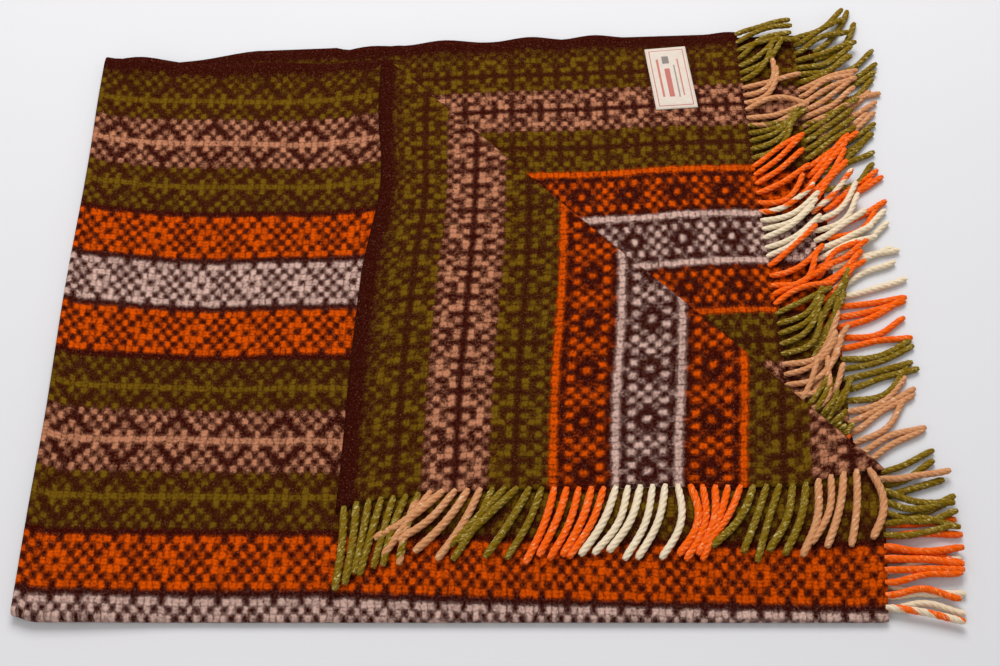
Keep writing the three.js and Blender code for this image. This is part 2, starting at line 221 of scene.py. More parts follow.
def settled(points):
    """The slight unevenness of soft wool: layers swell and sway, more towards the top. The top layer
    is slack at its far edge, and the layers below are tucked in there."""
    points = np.array(points, float)
    x, y, z = points[..., 0], points[..., 1], points[..., 2]
    height = smoothstep(z, 2, 13)
    swell = 1.0 + 0.55 * np.sin(x / 71 + 1.3) * np.sin(y / 88 + 0.4)
    swell = swell + 0.45 * np.sin(x / 43 - y / 59 + 2.1) * np.sin(y / 37 + x / 120)
    inside = smoothstep(y, 4, 60) * smoothstep(x, LEFT_EDGE + 6, LEFT_EDGE + 60)
    points[..., 2] += SWELL_BY * height * inside * swell
    left = 1 - smoothstep(x, LEFT_EDGE, LEFT_EDGE + 105)
    middle = smoothstep(y, 40, 260) * (1 - smoothstep(y, 640, 760))
    sway = LONG_SWAY_BY * np.sin(x / 64 + 0.6) * np.sin(y / 130 + 1.0)
    sway = sway + SHORT_SWAY_BY * np.sin(x / 29 + y / 90)
    left = left * (1 - 0.9 * smoothstep(y, 330, 560))
    points[..., 1] += height * middle * (LEFT_SAG_BY * left + sway)
    points[..., 0] += height * middle * SIDE_SWAY_BY * np.sin(y / 57 + x / 210)
    slack = lerp(0.55, 1, smoothstep(x, LEFT_EDGE + 20, LEFT_EDGE + 90))
    slack = slack * (1 - smoothstep(x, APEX[0] - 90, APEX[0] + 60)) * smoothstep(y, 230, 640)
    tucked = smoothstep(x, LEFT_EDGE, LEFT_EDGE + 50) * (1 - smoothstep(x, APEX[0] - 250, APEX[0] - 150))
    tucked = tucked * smoothstep(y, 560, 740)
    top = smoothstep(z, 11.5, 13.5)
    points[..., 1] -= TOP_SLACK_BY * slack * top + FAR_TUCK_BY * tucked * (1 - top)
    return points


# Shader and geometry trees

def fill_socket(tree, socket, value):
    if isinstance(value, bpy.types.NodeSocket):
        tree.links.new(value, socket)
    else:
        socket.default_value = value


def add_node(tree, kind, inputs=None, **settings):
    node = tree.nodes.new(kind)
    for name, value in settings.items():
        setattr(node, name, value)
    for key, value in (inputs or {}).items():
        fill_socket(tree, node.inputs[key], value)
    return node


def add_math(tree, operation, *values):
    return add_node(tree, "ShaderNodeMath", dict(enumerate(values)), operation=operation).outputs[0]


def blend_colour(tree, share, first, second, blend="MIX"):
    node = add_node(tree, "ShaderNodeMix", data_type="RGBA", blend_type=blend)
    sockets = {socket.identifier: socket for socket in node.inputs}
    fill_socket(tree, sockets["Factor_Float"], share)
    fill_socket(tree, sockets["A_Color"], first)
    fill_socket(tree, sockets["B_Color"], second)
    return {socket.identifier: socket for socket in node.outputs}["Result_Color"]


def tree_tools(tree):
    """The three calls above, for one tree: a node, a sum and a blend of colours."""
    return partial(add_node, tree), partial(add_math, tree), partial(blend_colour, tree)


def dye(red, green, blue):
    """A colour from its 0 to 255 screen values."""
    parts = [value / 255 for value in (red, green, blue)]
    return tuple(v / 12.92 if v <= 0.04045 else ((v + 0.055) / 1.055) ** 2.4 for v in parts) + (1.0,)


BROWN = dye(47, 8, 5)
# Pale fibres on the brown ground, and painted glints on its fibres.
PALE_FIBRE_AND_GLINT = dye(174, 114, 90)
GREEN = dye(110, 82, 16)
TAN = dye(190, 127, 94)
ORANGE = dye(212, 79, 4)
CREAM = dye(207, 171, 157)

# The weave's charts, one for each side of the cloth and each kind of band. Each row of digits is one
# of five columns counted from the middle of a band to its border, read over eight picks: 9 is all
# the band's own yarn, 0 all brown.
GREEN_CHART = [
    ["99999999", "92292922", "26226226", "92922292", "26262626"],
    ["11111111", "18918188", "33833833", "18189818", "51615161"],
]
ORANGE_CHART = [
    ["09099099", "70709990", "09090909", "90999099", "11111111"],
    ["90900900", "19140004", "90909090", "04000400", "99999999"],
]
CHART_PICKS = 8
CHART_PLACES = 40

# The cloth counted in the charts' columns: selvedge to selvedge, one selvedge, one block of three
# bands, and the block's middle band with half its width.
COLUMNS = 181
SELVEDGE_COLUMNS = 3
BLOCK_COLUMNS = 25.0
MIDDLE_BAND = (12.0, 4.5)
COLUMN_WIDTH = 8.4
ROW_LENGTH = 7.7

# How clearly the charts show, and how far loose fibres, uneven cells, flecks of pale fibre with painted
# glints, and hollows with painted shade break them up.
CHART_CONTRAST = 1.9
FIBRE_COVER = 1.3
CELL_UNEVEN = 0.25
GREEN_VEIL = 0.06
GROUND_HAZE = 0.35
FIBRE_AND_GLINT_FLECKS = 0.6
# Painted shade in the hollows between beads and between cells: how dark it is, and its darkest.
HOLLOW_SHADE_DEPTH, DEEPEST_HOLLOW_SHADE = 0.3, 0.9


def stepped_ramp(tree, place, colours):
    """A ramp of equal steps, one for each colour."""
    steps = add_node(tree, "ShaderNodeValToRGB", {"Fac": place})
    ramp = steps.color_ramp
    ramp.interpolation = "CONSTANT"
    last = None
    for step, colour in enumerate(colours):
        if colour == last:
            continue
        stop = ramp.elements[0] if step == 0 else ramp.elements.new(step / len(colours))
        stop.color = colour
        last = colour
    ramp.elements.remove(ramp.elements[-1])
    return steps.outputs["Color"]


def chart_ramp(tree, chart, place):
    """A ramp that holds a chart, its columns one after the other."""
    levels = [int(digit) / 9 for column in chart for digit in column]
    return stepped_ramp(tree, place, [(level, level, level, 1) for level in levels])


def new_group(name, inputs, outputs):
    tree = bpy.data.node_groups.new(name, "ShaderNodeTree")
    for label, kind, value in inputs:
        socket = tree.interface.new_socket(label, in_out="INPUT", socket_type=kind)
        if value is not None:
            socket.default_value = value
    for label, kind in outputs:
        tree.interface.new_socket(label, in_out="OUTPUT", socket_type=kind)
    return tree, tree.nodes.new("NodeGroupInput"), tree.nodes.new("NodeGroupOutput")


def fuzz_group():
    """Loose wool fibres: a fine uneven mask, and pale flecks where a closer noise passes Fleck From, which
    stand for pale fibres and for painted glints on the fibres.
    """
    tree, given, made = new_group(
        "wool_fuzz",
        [("Place", "NodeSocketVector", None), ("Fineness", "NodeSocketFloat", 1.0),
         ("Fleck From", "NodeSocketFloat", 0.58)],
        [("Mask", "NodeSocketFloat"), ("Fleck", "NodeSocketFloat")],
    )
    node, calc, _ = tree_tools(tree)
    place, fine = given.outputs["Place"], given.outputs["Fineness"]
    soft = node("ShaderNodeTexNoise", {"Vector": place, "Scale": fine, "Detail": 3.0, "Roughness": 0.65})
    close = node("ShaderNodeTexNoise", {
        "Vector": place, "Scale": calc("MULTIPLY", fine, 2.3), "Detail": 2.0, "Distortion": 1.2,
    })
    past = calc("SUBTRACT", close.outputs["Fac"], given.outputs["Fleck From"])
    fleck = calc("SMOOTH_MIN", calc("MULTIPLY", past, 8.0), 1.0, 0.1)
    tree.links.new(soft.outputs["Fac"], made.inputs["Mask"])
    tree.links.new(calc("MAXIMUM", fleck, 0.0), made.inputs["Fleck"])
    return tree


def weave_group(fuzz):
    """The double weave: which of the two cloths shows, in which colour, and the yarns' relief.
    Place counts columns across the cloth and rows along it; Face is 0 on one side, 1 on the other."""
    tree, given, made = new_group(
        "double_weave",
        [("Place", "NodeSocketVector", None), ("Face", "NodeSocketFloat", 0.0)],
        [("Colour", "NodeSocketColor"), ("Height", "NodeSocketFloat"), ("Roughness", "NodeSocketFloat")],
    )
    node, calc, blend = tree_tools(tree)
    place, face = given.outputs["Place"], given.outputs["Face"]

    def vector(operation, *values):
        return node("ShaderNodeVectorMath", dict(enumerate(values)), operation=operation).outputs[0]

    def moved(start, scale, reach):
        """Places moved to and fro by uneven fibres, within a span of reach cells."""
        noise = node("ShaderNodeTexNoise", {
            "Vector": place, "Scale": scale, "Detail": 2.0, "Roughness": 0.6,
        })
        level = vector("SUBTRACT", noise.outputs["Color"], (0.5, 0.5, 0.5))
        return vector("ADD", start, vector("MULTIPLY", level, (reach, reach, 0.0)))

    def held(value, high):
        return calc("MINIMUM", calc("MAXIMUM", value, 0.0), high)

    eased = moved(place, scale=0.7, reach=0.9)
    frayed = moved(eased, scale=22.0, reach=2.0)
    across, along = node("ShaderNodeSeparateXYZ", {0: frayed}).outputs[:2]

    from_middle = calc("ABSOLUTE", calc("SUBTRACT", across, COLUMNS / 2))
    from_edge = calc("SUBTRACT", COLUMNS / 2 - SELVEDGE_COLUMNS, from_middle)
    block = calc("FLOOR", calc("DIVIDE", calc("MAXIMUM", from_edge, 0.0), BLOCK_COLUMNS))
    bright_block = calc("FLOORED_MODULO", block, 2.0)
    column = calc("FLOOR", calc("MULTIPLY_ADD", block, -BLOCK_COLUMNS, from_edge))
    in_band = calc("FLOORED_MODULO", column, CHART_PICKS)
    from_band = calc("ABSOLUTE", calc("SUBTRACT", in_band, CHART_PICKS / 2))
    row = calc("FLOORED_MODULO", calc("FLOOR", along), CHART_PICKS)
    spot = calc("MULTIPLY_ADD", from_band, CHART_PICKS, row)
    step = calc("DIVIDE", calc("ADD", spot, 0.5), CHART_PLACES)
    green_level = blend(face, *(chart_ramp(tree, chart, step) for chart in GREEN_CHART))
    orange_level = blend(face, *(chart_ramp(tree, chart, step) for chart in ORANGE_CHART))
    shown = calc("ADD", blend(bright_block, green_level, orange_level), 0.0)
    selvedge = node(
        "ShaderNodeMapRange",
        {"Value": from_edge, "From Min": -1.8, "From Max": 1.0, "To Min": 0.0, "To Max": 1.0},
        interpolation_type="SMOOTHSTEP",
    ).outputs[0]
    shown = calc("MULTIPLY", shown, selvedge)

    middle_band = calc("COMPARE", column, *MIDDLE_BAND)
    band = blend(bright_block, blend(middle_band, GREEN, TAN), blend(middle_band, ORANGE, CREAM))

    def domes(place_at, count_across, count_along, squareness):
        """Rounded beads, so many to a cell each way."""
        ways = node("ShaderNodeSeparateXYZ", {0: place_at}).outputs
        waves = [calc("SINE", calc("MULTIPLY", way, count * math.pi))
                 for way, count in zip(ways, (count_across, count_along))]
        return calc("POWER", calc("ABSOLUTE", calc("MULTIPLY", *waves)), squareness)

    cell = domes(eased, count_across=1, count_along=1, squareness=0.45)
    bead = domes(eased, count_across=2, count_along=1, squareness=0.4)
    uneven = node("ShaderNodeTexWhiteNoise", {"Vector": vector("FLOOR", eased)}).outputs["Value"]
    loose = node("ShaderNodeGroup", {"Place": place, "Fineness": 2.6, "Fleck From": 0.62}, node_tree=fuzz)
    haze = calc("SUBTRACT", loose.outputs["Mask"], 0.5)

    cover = calc("MULTIPLY_ADD", calc("SUBTRACT", shown, 0.5), CHART_CONTRAST, 0.5)
    cover = calc("MULTIPLY_ADD", haze, -FIBRE_COVER, cover)
    cover = held(calc("SUBTRACT", cover, calc("MULTIPLY", uneven, CELL_UNEVEN)), 1.0)
    green_band = calc("MULTIPLY", calc("SUBTRACT", 1.0, bright_block), calc("SUBTRACT", 1.0, middle_band))
    veil = calc("MULTIPLY", calc("MULTIPLY", green_band, GREEN_VEIL), selvedge)
    ground = blend(calc("MULTIPLY_ADD", haze, -GROUND_HAZE, veil), BROWN, band)
    # Pale flecks on the brown ground: pale fibres, and painted glints on the fibres.
    ground = blend(calc("MULTIPLY", loose.outputs["Fleck"], FIBRE_AND_GLINT_FLECKS), ground, PALE_FIBRE_AND_GLINT)
    # Painted shade in the hollows between beads and between cells darkens the band's yarn towards brown,
    # with random tone from the haze and from uneven cells.
    hollow_shade = calc("MULTIPLY", calc("SUBTRACT", 1.0, cell), HOLLOW_SHADE_DEPTH)
    hollow_shade = calc("ADD", hollow_shade, calc("MULTIPLY", calc("SUBTRACT", 1.0, bead), HOLLOW_SHADE_DEPTH))
    hollow_shade = calc("MULTIPLY", hollow_shade, calc("MULTIPLY_ADD", haze, 2.5, 1.0))
    hollow_shade = calc("MULTIPLY_ADD", haze, 1.5, hollow_shade)
    hollow_shade = calc("ADD", hollow_shade, calc("MULTIPLY_ADD", uneven, 0.34, -0.07))
    yarn = blend(held(hollow_shade, DEEPEST_HOLLOW_SHADE), band, BROWN)
    colour = blend(cover, ground, yarn)
    height = calc("ADD", calc("MULTIPLY", bead, 0.7), calc("MULTIPLY", cell, 0.35))
    height = calc("MULTIPLY_ADD", loose.outputs["Mask"], 1.6, height)
    tree.links.new(colour, made.inputs["Colour"])
    tree.links.new(height, made.inputs["Height"])
    tree.links.new(calc("MULTIPLY_ADD", loose.outputs["Mask"], 0.2, 0.8), made.inputs["Roughness"])
    return tree


def new_material(name, sheen, sheen_tint=(0.6, 0.36, 0.2, 1), gloss=0.04):
    material = bpy.data.materials.new(name)
    material.use_nodes = True
    shader = material.node_tree.nodes["Principled BSDF"]
    shader.inputs["Specular IOR Level"].default_value = gloss
    shader.inputs["Sheen Weight"].default_value = sheen
    shader.inputs["Sheen Tint"].default_value = sheen_tint
    return material, material.node_tree, shader


def cloth_material(name, weave, face):
    material, tree, shader = new_material(name, sheen=0.03, sheen_tint=(0.6, 0.15, 0.07, 1), gloss=0.0)
    node, _, _ = tree_tools(tree)
    place = node("ShaderNodeUVMap", uv_map="weave")
    woven = node("ShaderNodeGroup", {"Place": place.outputs["UV"], "Face": face}, node_tree=weave)
    bump = node("ShaderNodeBump", {
        "Strength": 0.8, "Distance": 0.9 * MM, "Height": woven.outputs["Height"],
    })
    tree.links.new(woven.outputs["Colour"], shader.inputs["Base Color"])
    tree.links.new(woven.outputs["Roughness"], shader.inputs["Roughness"])
    tree.links.new(bump.outputs["Normal"], shader.inputs["Normal"])
    return material


FRINGE_DYES = [dye(118, 92, 8), dye(198, 136, 90), dye(236, 92, 4), dye(226, 206, 174)]
# Pale fibres and painted glints on the strands, one colour for each yarn.
FIBRE_AND_GLINT_DYES = [dye(206, 190, 118), dye(232, 194, 158), dye(252, 168, 110), dye(244, 236, 218)]
FIBRE_SCALES = {"ply": 1.5, "lie_along": 85.0, "strand": 7.0}


def fringe_material(fuzz):
    material, tree, shader = new_material("twisted_yarn", sheen=0.05)
    node, calc, blend = tree_tools(tree)
    number = {}
    for name in ("yarn_a", "yarn_b", *FIBRE_SCALES):
        number[name] = node("ShaderNodeAttribute", attribute_name=name).outputs["Fac"]
    scaled = [calc("MULTIPLY", number[name], scale) for name, scale in FIBRE_SCALES.items()]
    place = node("ShaderNodeCombineXYZ", dict(enumerate(scaled)))
    loose = node(
        "ShaderNodeGroup", {"Place": place.outputs[0], "Fineness": 1.2, "Fleck From": 0.56}, node_tree=fuzz,
    )
    fibres = loose.outputs["Mask"]
    second = calc("GREATER_THAN", calc("MULTIPLY_ADD", fibres, 5.0, number["ply"]), 2.5)
    yarn = calc("ADD", calc("MULTIPLY", second, number["yarn_b"]),
                calc("MULTIPLY", calc("SUBTRACT", 1.0, second), number["yarn_a"]))
    which = calc("DIVIDE", calc("ADD", yarn, 0.5), len(FRINGE_DYES))
    square = calc("MULTIPLY", number["ply"], number["ply"])
    valley = calc("SUBTRACT", 1.0, calc("ABSOLUTE", calc("MULTIPLY_ADD", square, 2.0, -1.0)))
    dyed = stepped_ramp(tree, which, FRINGE_DYES)
    # Painted shade: the colour darkens towards brown in the valleys between the plies, with random tone
    # from the fibres.
    shade = calc("MULTIPLY_ADD", valley, 0.24, calc("MULTIPLY", calc("SUBTRACT", fibres, 0.5), 0.5))
    colour = blend(shade, dyed, blend(0.55, dyed, BROWN))
    # Pale flecks along the strands: pale fibres, and painted glints on them.
    fleck = calc("MULTIPLY", loose.outputs["Fleck"], 0.85)
    colour = blend(fleck, colour, stepped_ramp(tree, which, FIBRE_AND_GLINT_DYES))
    height = calc("SUBTRACT", fibres, calc("MULTIPLY", valley, 0.8))
    bump = node("ShaderNodeBump", {"Strength": 0.5, "Distance": 0.5 * MM, "Height": height})
    tree.links.new(colour, shader.inputs["Base Color"])
    tree.links.new(calc("MULTIPLY_ADD", fibres, 0.3, 0.55), shader.inputs["Roughness"])
    tree.links.new(bump.outputs["Normal"], shader.inputs["Normal"])
    return material


fuzz = fuzz_group()
weave = weave_group(fuzz)
WOOL_FACES = [cloth_material("wool_face", weave, 0.0), cloth_material("wool_back", weave, 1.0)]
WOOL_YARN = fringe_material(fuzz)


# The cloth

def even_steps(low, high, count):
    return list(np.linspace(low, high, count + 1))


# Lines of the mesh along and across the cloth, closer together where it bends.
CREASE_STEPS = 80
CREASE_BEND_STEPS = 6
EDGE_ROUND = 3.0
RIM_SHARE = 0.55
ALONG_LINES = np.array([
    -INNER_LENGTH, EDGE_ROUND - INNER_LENGTH,
    *even_steps(8 - INNER_LENGTH, -INNER_REACH, 68), *even_steps(-INNER_REACH, -16, 14)[1:],
    *even_steps(-TURN_LENGTH, TURN_LENGTH, 8), 6, 10, 15, CORNER_REACH,
    *even_steps(CORNER_REACH, APEX_ALONG, 38)[1:],
    *even_steps(APEX_ALONG, OUTER_LENGTH, CREASE_STEPS)[1:],
])
CREASE_START = len(ALONG_LINES) - 1 - CREASE_STEPS
LOWER_RUNS = [
    RUN_LENGTH, RUN_LENGTH - EDGE_ROUND,
    *even_steps(RUN_LENGTH - 12, 160, 34), *even_steps(160, 4, 15)[1:],
]
UPPER_RUNS = [
    *even_steps(0, CREASE_END_RUN, 22)[1:-1], *even_steps(CREASE_END_RUN, RUN_LENGTH, CREASE_STEPS),
]
FOLD_ANGLES = even_steps(-90, 90, 12)
ACROSS_ANGLES = np.array([-90.0] * len(LOWER_RUNS) + FOLD_ANGLES + [90.0] * len(UPPER_RUNS))
ACROSS_RUNS = np.array(LOWER_RUNS + [0.0] * len(FOLD_ANGLES) + UPPER_RUNS)

# How far the folded cloth lies askew, at distances along it, how far from the fold its blocks end, in
# millimetres and in columns, and the rows that its stretch towards the fringed end takes up.
ASKEW_AT, ASKEW_BY = (-120, 0, 330, 545, 930), (0, 5.5, 4.5, 12, 21)
BLOCK_ENDS_AT = (0, 107.5, 312.5, 527.5, CLOTH_WIDTH / 2)
BLOCK_ENDS = (0, 12.5, 37.5, 62.5, COLUMNS / 2)
STRETCHED_ROWS, STRETCH_END = 2.3, OUTER_LENGTH - 260
UNDER_FLAP_REACH = 160


def weave_column(angle, run, along):
    """Columns of the chart from the lower selvedge, for a place on the cloth. The cloth is folded
    slightly askew, so that its middle runs out under the fold towards the fringed end."""
    past_fold = np.sign(angle) * run + np.radians(angle) * SLACK_BEND
    near_fold = smoothstep(past_fold, -160, -20) * (1 - smoothstep(past_fold, 110, 260))
    past_fold = past_fold + np.interp(along, ASKEW_AT, ASKEW_BY) * near_fold
    columns = np.interp(np.abs(past_fold), BLOCK_ENDS_AT, BLOCK_ENDS)
    return COLUMNS / 2 + np.sign(past_fold) * columns


def cloth_surface():
    """Middle surface: points, faces and each point's place in the weave. Cells on the crease are
    halved along it, and the round of the crease joins the halves."""
    grid = np.meshgrid(ALONG_LINES, np.arange(len(ACROSS_RUNS)), indexing="ij")
    along, across = grid[0], grid[1]
    laid = laid_points(along, ACROSS_ANGLES[across], ACROSS_RUNS[across])
    turned = turned_points(laid)
    column = weave_column(ACROSS_ANGLES[across], ACROSS_RUNS[across], along)
    row = along / ROW_LENGTH + STRETCHED_ROWS * smoothstep(along, APEX_ALONG, STRETCH_END)
    last = len(ACROSS_RUNS) - 1
    points, places, faces, known = [], [], [], {}
    slip = math.pi * (CREASE_RADIUS + CREASE_PUFF / 2) / math.sqrt(2)
    under_flap = 1 - smoothstep(-past_crease(laid), 0, UNDER_FLAP_REACH)
    under_flap = np.where((along > 0) & (ACROSS_ANGLES[across] > 0), under_flap, 0)

    def place(key, point, i, j, slid):
        if key not in known:
            known[key] = len(points)
            points.append(point())
            places.append((column[i, j] - slid * slip / COLUMN_WIDTH, row[i, j] - slid * slip / ROW_LENGTH))
        return known[key]

    def on_laid(i, j):
        return place(("laid", i, j), lambda: laid[i, j], i, j, under_flap[i, j])

    def on_round(i, j, step):
        if step == 0:
            return on_laid(i, j)
        share = step / CREASE_BEND_STEPS
        return place(("round", i, j, step), lambda: crease_points(laid[i, j], share), i, j, 1 - share)

    def on_turned(i, j):
        if i - CREASE_START + j - last == 0:
            return on_round(i, j, CREASE_BEND_STEPS)
        return place(("turned", i, j), lambda: turned[i, j], i, j, 0)

    for i in range(len(ALONG_LINES) - 1):
        for j in range(last):
            side = i - CREASE_START + j - last
            if side != -1:
                at = on_turned if side >= 0 else on_laid
                faces.append((at(i, j), at(i + 1, j), at(i + 1, j + 1), at(i, j + 1)))
                continue
            faces.append((on_laid(i, j), on_laid(i + 1, j), on_laid(i, j + 1)))
            faces.append((on_turned(i + 1, j), on_turned(i + 1, j + 1), on_turned(i, j + 1)))
            for step in range(CREASE_BEND_STEPS):
                faces.append((
                    on_round(i + 1, j, step), on_round(i + 1, j, step + 1),
                    on_round(i, j + 1, step + 1), on_round(i, j + 1, step),
                ))
    return settled(np.array(points)), faces, np.array(places)


def surface_normals(points, faces):
    normals = np.zeros_like(points)
    quads = np.array([face if len(face) == 4 else (*face, face[2]) for face in faces])
    corners = [points[quads[:, k]] for k in range(4)]
    facing = np.cross(corners[2] - corners[0], corners[3] - corners[1])
    thin = quads[:, 2] == quads[:, 3]
    first, second, third = (corner[thin] for corner in corners[:3])
    facing[thin] = np.cross(second - first, third - first)
    for k in range(4):
        np.add.at(normals, quads[:, k], facing)
    return normals / np.linalg.norm(normals, axis=1, keepdims=True)


def rim_edges(faces):
    """Edges that only one face has, each in that face's direction."""
    edges = {}
    for face in faces:
        for here, there in zip(face, face[1:] + face[:1]):
            if (there, here) in edges:
                del edges[there, here]
            else:
                edges[here, there] = True
    return list(edges)


def linked(name, data):
    thing = bpy.data.objects.new(name, data)
    bpy.context.scene.collection.objects.link(thing)
    return thing


def new_piece(name, mesh, materials):
    for material in materials:
        mesh.materials.append(material)
    mesh.shade_smooth()
    return linked(name, mesh)


def loop_corners(mesh):
    """The point of each face corner."""
    corners = np.empty(len(mesh.loops), np.int32)
    mesh.loops.foreach_get("vertex_index", corners)
    return corners


def both_sides(faces, count):
    """A sheet's faces, its back's faces and its rim's, with the back's points after the front's."""
    back = [tuple(k + count for k in reversed(face)) for face in faces]
    rim = [(there, here, here + count, there + count) for here, there in rim_edges(faces)]
    return faces, back, rim


def write_map(mesh, name, values):
    layer = mesh.uv_layers.new(name=name)
    layer.data.foreach_set("uv", np.asarray(values, np.float32).ravel())


BAKE_MARGIN = 0.005
BAKE_SIDE = 0.5


def make_cloth():
    points, faces, places = cloth_surface()
    normals = surface_normals(points, faces)
    half = np.full(len(points), CLOTH_THICK / 2)
    half[[here for here, _ in rim_edges(faces)]] *= RIM_SHARE
    count = len(points)
    both = np.concatenate([points + normals * half[:, None], points - normals * half[:, None]])
    front, back, edge = both_sides(faces, count)
    solid = front + back + edge
    side = [0] * len(front) + [1] * len(back) + [0] * len(edge)
    mesh = bpy.data.meshes.new("blanket_cloth")
    mesh.from_pydata(in_frame(both).tolist(), [], solid)
    mesh.polygons.foreach_set("material_index", side)
    woven = places[loop_corners(mesh) % count]
    write_map(mesh, "weave", woven)
    rows = places[:, 1]
    sides = np.repeat(side, [len(face) for face in solid])
    bake_width, bake_height = BAKE_SIDE - 2 * BAKE_MARGIN, 1 - 2 * BAKE_MARGIN
    bake = np.stack([
        BAKE_MARGIN + BAKE_SIDE * sides + bake_width * woven[:, 0] / (COLUMNS + 1),
        BAKE_MARGIN + bake_height * (woven[:, 1] - rows.min()) / np.ptp(rows),
    ], axis=1)
    write_map(mesh, "OFBake", bake)
    mesh.uv_layers["weave"].active_render = True
    mesh.validate()
    return new_piece("blanket_cloth", mesh, WOOL_FACES)


# The fringes

STRAND_PITCH = 13.4
STRAND_RADIUS = 4.6
STRAND_POINTS = 22
STRAND_ROOT = 3
STRAND_SIZE_AT, STRAND_SIZE = (0, 0.04, 0.1, 0.94, 0.98, 1), (0.7, 0.84, 1, 1, 0.9, 0.66)
TWIST_LENGTH = 34
LOBE_DEPTH = 0.17
RING_SPACING, RING_SIDES = 2.2, 16
LID_OPEN, LID_REACH = 60, (4, 45)
END_ALONG = {"outer": OUTER_LENGTH, "inner": -INNER_LENGTH}

# How strands differ by chance: length and size as shares, resting height in millimetres, and the
# twist that they start with, in radians.
LENGTH_SPREAD, SIZE_SPREAD = (0.92, 1.03), (0.94, 1.05)
REST_SPREAD = (-0.3, 0.6)
FIRST_TURNS = (0, 6)

# Heights of what the strands lie on and under.
PIECE_GAP = 0.3
BOTTOM_TOP = CLOTH_THICK + PIECE_GAP
FLAP_BASE = FLAT_TOP + CLOTH_THICK / 2 + PIECE_GAP
UNDER_TOP = FLAT_TOP - CLOTH_THICK / 2 - STRAND_RADIUS - 2 * PIECE_GAP

# How the strands lie, row by row, from the end nearest the lengthwise fold: a share of the row, the
# way that strands leave the cloth there and the way that their tips point, in degrees from straight
# out and positive to the left. The turned corner's row has about one pair for each strand.
BOTTOM_LIE = [
    (0, 0, -4), (0.1, -6, 2), (0.15, 4, 6), (0.2, 24, 30), (0.27, 28, 40), (0.32, 10, 24), (0.45, 6, 22),
    (0.52, 10, 24), (0.58, 22, 30), (0.64, 20, 46), (0.72, 26, 40), (0.82, 16, 34), (0.9, 12, 30),
    (0.95, 14, 46), (1, 30, 62),
]
LOWER_LIE = [
    (0, 28, 34), (0.15, 45, 58), (0.25, 48, 60), (0.35, 52, 60), (0.42, 40, 50), (0.47, 35, 46),
    (0.52, 12, 30), (0.56, 10, 52), (0.6, 35, 58), (0.66, 42, 56), (0.72, 25, 42), (0.78, 25, 38),
    (0.84, 20, 30), (0.9, 10, 22), (0.95, 10, 32), (1, 14, 42),
]
UPPER_LIE = [
    (0, 28, 34), (0.17, 40, 50), (0.19, 50, 60), (0.23, 48, 60), (0.24, -25, 75), (0.26, 5, 58),
    (0.276, 8, 55), (0.31, 5, 50), (0.335, 15, 80), (0.355, 20, 75), (0.375, 20, 60), (0.395, 25, 45),
    (0.415, 40, 5), (0.43, 30, 5), (0.45, 5, 60), (0.47, 5, 50), (0.49, 30, 55), (0.51, 30, 45),
    (0.525, 15, 50), (0.545, 25, 45), (0.56, 10, 45), (0.58, 0, 50), (0.595, 0, 45), (0.61, -20, 85),
    (0.63, 15, 30), (0.65, 25, 30), (0.67, 30, 38), (0.69, 32, 38), (0.705, 10, 80), (0.72, 10, 50),
    (0.74, 10, 55), (0.76, 5, 45), (0.78, 0, 35), (0.8, 0, 25), (0.815, 25, -20), (0.83, 5, 88),
    (0.85, 0, 100), (0.87, 10, 20), (0.88, 15, 80), (0.895, 20, 78), (0.91, 20, 55), (0.925, 20, 60),
    (0.935, 30, 45), (0.95, 35, -5), (0.96, 30, -3), (0.975, 30, 0), (0.99, 28, -3), (1, 27, 5),
]
TOP_LIE = [
    (0, -8, -22), (0.2, -4, 6), (0.45, -6, 8), (0.6, -4, 14), (0.75, -10, 22), (0.85, -22, 4), (1, -6, 18),
]
FLAP_PAIRS = [
    (52, -46), (4, -13), (-5, -18), (-5, -30), (0, -28), (-6, -15),
    (-2, -34), (-14, -22), (-20, 2), (-14, -38), (-20, -44),
    (-14, -26), (-4, -24), (4, -24), (12, -34), (26, -36),
    (-8, -28), (-6, -30), (-12, -32), (-14, -36), (-14, -34), (-16, -32),
    (-12, -30), (-10, -30), (-12, -26), (-10, -24), (-14, -28),
    (-20, -34), (-26, -34), (-56, -64), (-18, -26), (-22, -32),
    (-20, -34), (-34, -52), (-38, -52), (-52, -60), (-16, -6),
    (-18, -10), (-14, -12), (-10, -12), (-6, -10), (-2, -8), (6, -10), (2, -4),
]
FLAP_LIE = [(k / (len(FLAP_PAIRS) - 1), *pair) for k, pair in enumerate(FLAP_PAIRS)]

# Each row of strands: where it leaves the cloth, its length, the height that it comes to rest on,
# near the cloth and at its tips, where it lies over the row below, how loosely it lies, and how
# stout its strands are.
FRINGES = [
    dict(name="fringe_bottom", end="outer", angle=-90, turned=False, runs=(6, RUN_LENGTH - 2),
         length=92, rest=(0, 0), loose=10, stout=0.9, lie=BOTTOM_LIE),
    dict(name="fringe_inner_lower", end="inner", angle=-90, turned=False, runs=(8, RUN_LENGTH - 2),
         length=84, rest=(BOTTOM_TOP, BOTTOM_TOP + 4.4), loose=8, stout=0.86, lie=LOWER_LIE),
    dict(name="fringe_inner_upper", end="inner", angle=90, turned=False, runs=(8, RUN_LENGTH - 2),
         length=84, rest=(MIDDLE_LEVEL, MIDDLE_LEVEL + 3.6), loose=5, stout=0.82, lie=UPPER_LIE),
    dict(name="fringe_top", end="outer", angle=90, turned=False, runs=(8, CREASE_END_RUN - 4),
         length=88, rest=(5.6, 5.2), loose=9, stout=0.92, lie=TOP_LIE),
    dict(name="fringe_flap", end="outer", angle=90, turned=True,
         runs=(CREASE_END_RUN + 8, RUN_LENGTH - 2),
         length=92, rest=(FLAP_BASE, FLAP_BASE), loose=1.5, stout=1, lie=FLAP_LIE),
]

